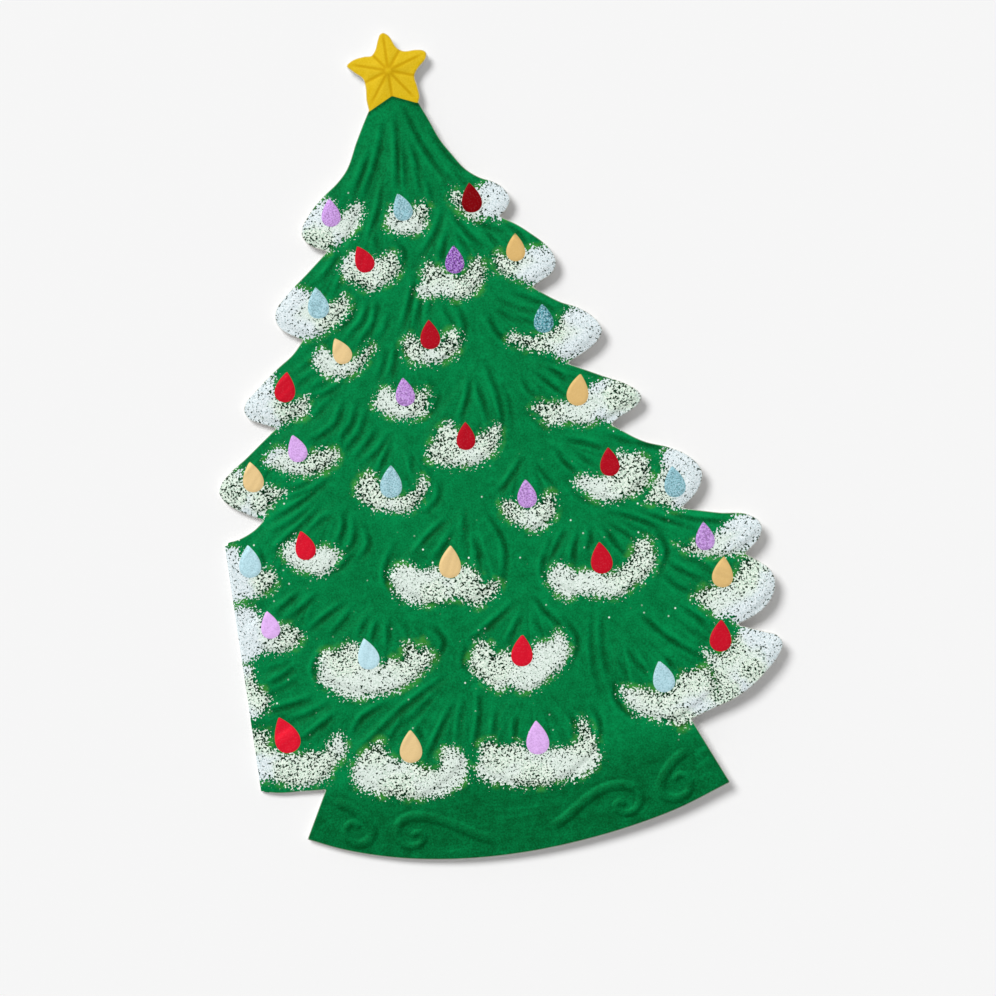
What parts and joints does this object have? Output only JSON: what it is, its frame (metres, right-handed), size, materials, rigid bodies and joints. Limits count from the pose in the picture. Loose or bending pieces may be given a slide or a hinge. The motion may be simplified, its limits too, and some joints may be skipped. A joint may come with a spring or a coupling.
{
  "type": "holiday card",
  "caption": "Folded die-cut greeting card shaped as a decorated tree, embossed with boughs, star, drop lamps and a scrolled base, joined along a short spine at its left edge.",
  "frame": {"origin": "centre of the card's bounding box, on the surface that the back panel lies on", "axes": "+Y from the foot to the star, along the fold; +X from the fold to the free edge; +Z out of the front panel"},
  "size_m": [0.1188, 0.1834, 0.0046],
  "materials": {
    "printed_card": "printed green card stock with embossed relief and foil-stamped lamps"
  },
  "bodies": {
    "root": {"folded_card": "printed_card"}
  },
  "joints": []
}
